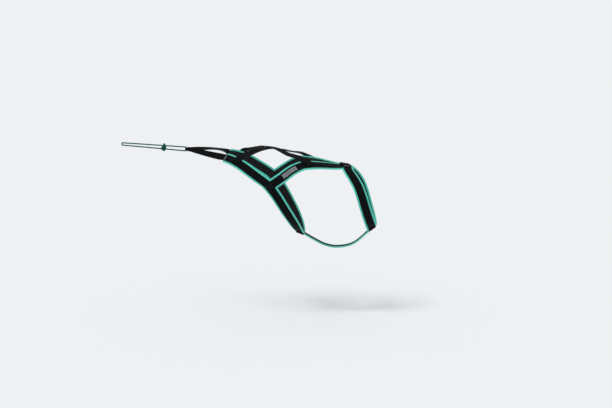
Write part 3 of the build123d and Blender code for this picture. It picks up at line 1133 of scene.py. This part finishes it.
for name, side in sides.items():
    frames = strapFrames["brace", name]
    centre = nearest(frames, spot("label", side)).reach
    half, seamIn = label["length"] / 2, label["seamIn"]
    chosen = [f for f in frames if abs(f.reach - centre) <= half + label["endSlack"]]
    piece, node = f"label{name.capitalize()}", f"label_{name}"
    harnessPiece(piece, chosen, labelSection, [labelTape], "reflective_tape", node)
    for across in (label["halfWidth"] - seamIn, seamIn - label["halfWidth"]):
        ends = ((centre - half + seamIn, across), (centre + half - seamIn, across))
        sew("greySeams", frames, *ends, labelTop)
print("stage: patches and labels")


# Stitches. A tree sets one on every pitch of the seams, laid along the seam or leaning across it.
stitchWander = math.radians(6)


def stitchTree():
    tree = bpy.data.node_groups.new("stitches", "GeometryNodeTree")
    add = partial(addNode, tree)
    sockets = {"Seams": "Geometry", "Thread": "Material"}
    sockets |= {name: "Float" for name in ("Pitch", "Length", "Thickness", "Lean")}
    for name, kind in sockets.items():
        tree.interface.new_socket(name, in_out="INPUT", socket_type=f"NodeSocket{kind}")
    tree.interface.new_socket("Stitches", in_out="OUTPUT", socket_type="NodeSocketGeometry")
    given = add("NodeGroupInput").outputs
    line = add("GeometryNodeMeshToCurve", {"Mesh": given["Seams"]})
    pitch = {"Curve": line, "Length": given["Pitch"]}
    holes = add("GeometryNodeCurveToPoints", pitch, mode="LENGTH")
    stored = {"Name": "offCloth"}
    offCloth = add("GeometryNodeInputNamedAttribute", stored, data_type="FLOAT_VECTOR")
    axes = {0: offCloth, 1: holes.outputs["Tangent"]}
    laid = add("FunctionNodeAxesToRotation", axes, primary_axis="Z", secondary_axis="X")
    limits = {"Min": -stitchWander, "Max": stitchWander, "Seed": 7}
    wander = add("FunctionNodeRandomValue", limits, data_type="FLOAT").outputs["Value"]
    lean = add("ShaderNodeMath", {0: given["Lean"], 1: wander}, operation="ADD")
    leaning = add("FunctionNodeAxisAngleToRotation", {"Axis": (0, 0, 1), "Angle": lean})
    turned = {"Rotation": laid, "Rotate By": leaning}
    turn = add("FunctionNodeRotateRotation", turned, rotation_space="LOCAL")
    sizes = {"X": given["Length"], "Y": given["Thickness"], "Z": given["Thickness"]}
    size = add("ShaderNodeCombineXYZ", sizes)
    bead = add("GeometryNodeMeshUVSphere", {"Segments": 6, "Rings": 4, "Radius": 0.5})
    stitch = add("GeometryNodeTransform", {"Geometry": bead, "Scale": size})
    placing = {"Points": holes.outputs["Points"], "Instance": stitch, "Rotation": turn}
    placed = add("GeometryNodeInstanceOnPoints", placing)
    real = add("GeometryNodeRealizeInstances", {"Geometry": placed})
    smooth = add("GeometryNodeSetShadeSmooth", {"Geometry": real})
    thread = {"Geometry": smooth, "Material": given["Thread"]}
    add("NodeGroupOutput", {"Stitches": add("GeometryNodeSetMaterial", thread)})
    return tree


# Columns: material, slot, pitch, length, thickness, degrees of lean.
threads = {
    "blackSeams": (blackThread, "webbing", 3.4, 2.9, 0.62, 0),
    "turquoiseSeams": (turquoiseThread, "binding_tape", 2.8, 2.3, 0.52, 0),
    "charcoalSeams": (charcoalThread, "webbing", 3.2, 2.7, 0.55, 0),
    "greySeams": (greyThread, "reflective_tape", 3.0, 2.5, 0.55, 0),
    "greyTacks": (greyThread, "reflective_tape", 0.62, 2.3, 0.6, 78),
    "blackTacks": (blackThread, "webbing", 0.62, 2.3, 0.6, 78),
}


def seamMesh(name, runs):
    points, edges, ways = [], [], []
    for run in runs:
        first = len(points)
        points += [point * mm for point, _ in run]
        ways += [way for _, way in run]
        edges += [(i, i + 1) for i in range(first, len(points) - 1)]
    mesh = bpy.data.meshes.new(name)
    mesh.from_pydata(points, edges, [])
    offCloth = mesh.attributes.new("offCloth", "FLOAT_VECTOR", "POINT")
    offCloth.data.foreach_set("vector", [value for way in ways for value in way])
    return mesh


stitches = stitchTree()
socketOf = {item.name: item.identifier for item in stitches.interface.items_tree}
for name, (material, slotName, pitch, length, thick, lean) in threads.items():
    seams = addObject(f"{name}Guide", seamMesh(name, seamRuns[name]))
    modifier = seams.modifiers.new("stitches", "NODES")
    modifier.node_group = stitches
    chosen = {"Pitch": pitch * mm, "Length": length * mm, "Thickness": thick * mm}
    chosen |= {"Lean": math.radians(lean), "Thread": material}
    for socket, value in chosen.items():
        modifier[socketOf[socket]] = value
    mesh = bpy.data.meshes.new_from_object(seams.evaluated_get(bpy.context.evaluated_depsgraph_get()))
    mesh.name = name
    bpy.data.objects.remove(seams)
    makeObject(name, mesh, "harness", slotName)
    print("stage:", name, len(mesh.polygons), "faces")


# The knot that slides on the loop: turns of the same cord round both strands. From the side it is
# a drop: a nub over the upper strand, widest at the lower one. Its ends are tucked inside.
knot = {
    "fromEye": 71.5, "cordRadius": 1.85, "turns": 5,
    "heights": (-12.5, -9.5, -4.5, 3.5, 8.5, 12.5), "halfSpreads": (1.2, 3.6, 7.4, 4.6, 3.0, 2.4),
    "middleReach": 11.3, "outerReach": 8.2, "reachPower": 1.5,
    "middleThick": 4.1, "outerThick": 3.3, "squareness": 0.6,
    "rearwards": 1.4, "rearHeight": -4.5, "rearBreadth": 5.0,
    "tucksPerTurn": 3, "tuckedShare": 0.4, "pointsPerTurn": 40, "sectors": 14,
}


def knotPoints():
    points = []
    count = knot["turns"] * knot["pointsPerTurn"]
    for i in range(count + 1):
        turn = i / knot["pointsPerTurn"]
        outer = turn / knot["turns"] * 2 - 1
        free = smoothStep(min(i, count - i) / knot["pointsPerTurn"] * knot["tucksPerTurn"])
        tucked = free * (1 - knot["tuckedShare"]) + knot["tuckedShare"]
        across = math.sin(turn * math.tau)
        tall = mix(knot["middleReach"], knot["outerReach"], abs(outer) ** knot["reachPower"])
        thick = mix(knot["middleThick"], knot["outerThick"], abs(outer))
        up = tall * math.cos(turn * math.tau) * tucked
        aside = thick * math.copysign(abs(across) ** knot["squareness"], across) * tucked
        back = outer * between(knot["heights"], knot["halfSpreads"], up)
        back += knot["rearwards"] * bell(up, knot["rearHeight"], knot["rearBreadth"])
        points.append(onLoop(knot["fromEye"] + back, up, aside))
    return points


# Round cord through points in metres, with closed ends and lengths in its UV map.
def tube(name, points, radius, sectors, material):
    mesh = bmesh.new()
    rings, reach = [], lengths(points)
    normal = (points[1] - points[0]).orthogonal().normalized()
    for i, point in enumerate(points):
        along = wayAt(points, i)
        normal = (normal - along * normal.dot(along)).normalized()
        other = along.cross(normal)
        turns = [k / sectors * math.tau for k in range(sectors)]
        offsets = [normal * math.cos(turn) + other * math.sin(turn) for turn in turns]
        rings.append([mesh.verts.new(point + offset * radius) for offset in offsets])
    skin(mesh, rings, lambda ring, sector: (reach[ring], sector / sectors))
    bmesh.ops.recalc_face_normals(mesh, faces=mesh.faces[:])
    return toMesh(name, mesh, [material])


knotTurns = 1 / (braid["lay"] * mm)
# The knot's braid is the loop's cord painted darker, as painted shade of its tightly packed turns.
shadedKnotBraid = braidedCord(
    "braided polyester cord of the knot with painted shade",
    {"shadedGroove": "#03302c", "strand": "#0e665e", "uvMap": "strap", "turnsAlong": knotTurns},
)
knotMesh = tube("sliderKnot", knotPoints(), knot["cordRadius"] * mm, knot["sectors"], shadedKnotBraid)
makeObject("sliderKnot", knotMesh, "slider", "loop_cord", "slider_knot")
print("stage: slider knot")


# Floor and light
stage = {
    "floorHalf": 60.0, "floorLevel": -0.49, "floorColour": "#f2f3f4",
    "skyColour": "#f2f4f6", "skyStrength": 0.69, "backdropColour": "#e8e9ec",
    "sunStrength": 1.28, "sunWidth": 25.0, "sunWay": (0.35, 0.45, -1),
}


def plainFloor():
    colour, dull = linearColour(stage["floorColour"]), {"Roughness": 1.0, "Specular IOR Level": 0.0}
    size, level = stage["floorHalf"], stage["floorLevel"]
    corners = [(-size, -size, level), (size, -size, level), (size, size, level), (-size, size, level)]
    mesh = bpy.data.meshes.new("floor")
    mesh.from_pydata(corners, [], [(0, 1, 2, 3)])
    mesh.materials.append(surfaced(newMaterial("pale floor")[0], colour, dull))
    addObject("floor", mesh)


def daylight():
    world = bpy.data.worlds.new("overcast sky")
    bpy.context.scene.world = world
    world.use_nodes = True
    world.node_tree.nodes.clear()
    add = partial(addNode, world.node_tree)
    lights = ((stage["skyColour"], stage["skyStrength"]), (stage["backdropColour"], 1.0))
    sky, backdrop = (
        add("ShaderNodeBackground", {"Color": linearColour(colour), "Strength": strength})
        for colour, strength in lights
    )
    ways = {0: add("ShaderNodeLightPath").outputs["Is Camera Ray"], 1: sky, 2: backdrop}
    add("ShaderNodeOutputWorld", {"Surface": add("ShaderNodeMixShader", ways)})
    sun = bpy.data.lights.new("soft sun", "SUN")
    sun.energy = stage["sunStrength"]
    sun.angle = math.radians(stage["sunWidth"])
    lamp = addObject("soft sun", sun)
    lamp.rotation_mode = "QUATERNION"
    lamp.rotation_quaternion = Vector(stage["sunWay"]).to_track_quat("-Z", "Y")


plainFloor()
daylight()
bpy.context.scene.view_settings.view_transform = "Standard"
print("stage: floor and light")
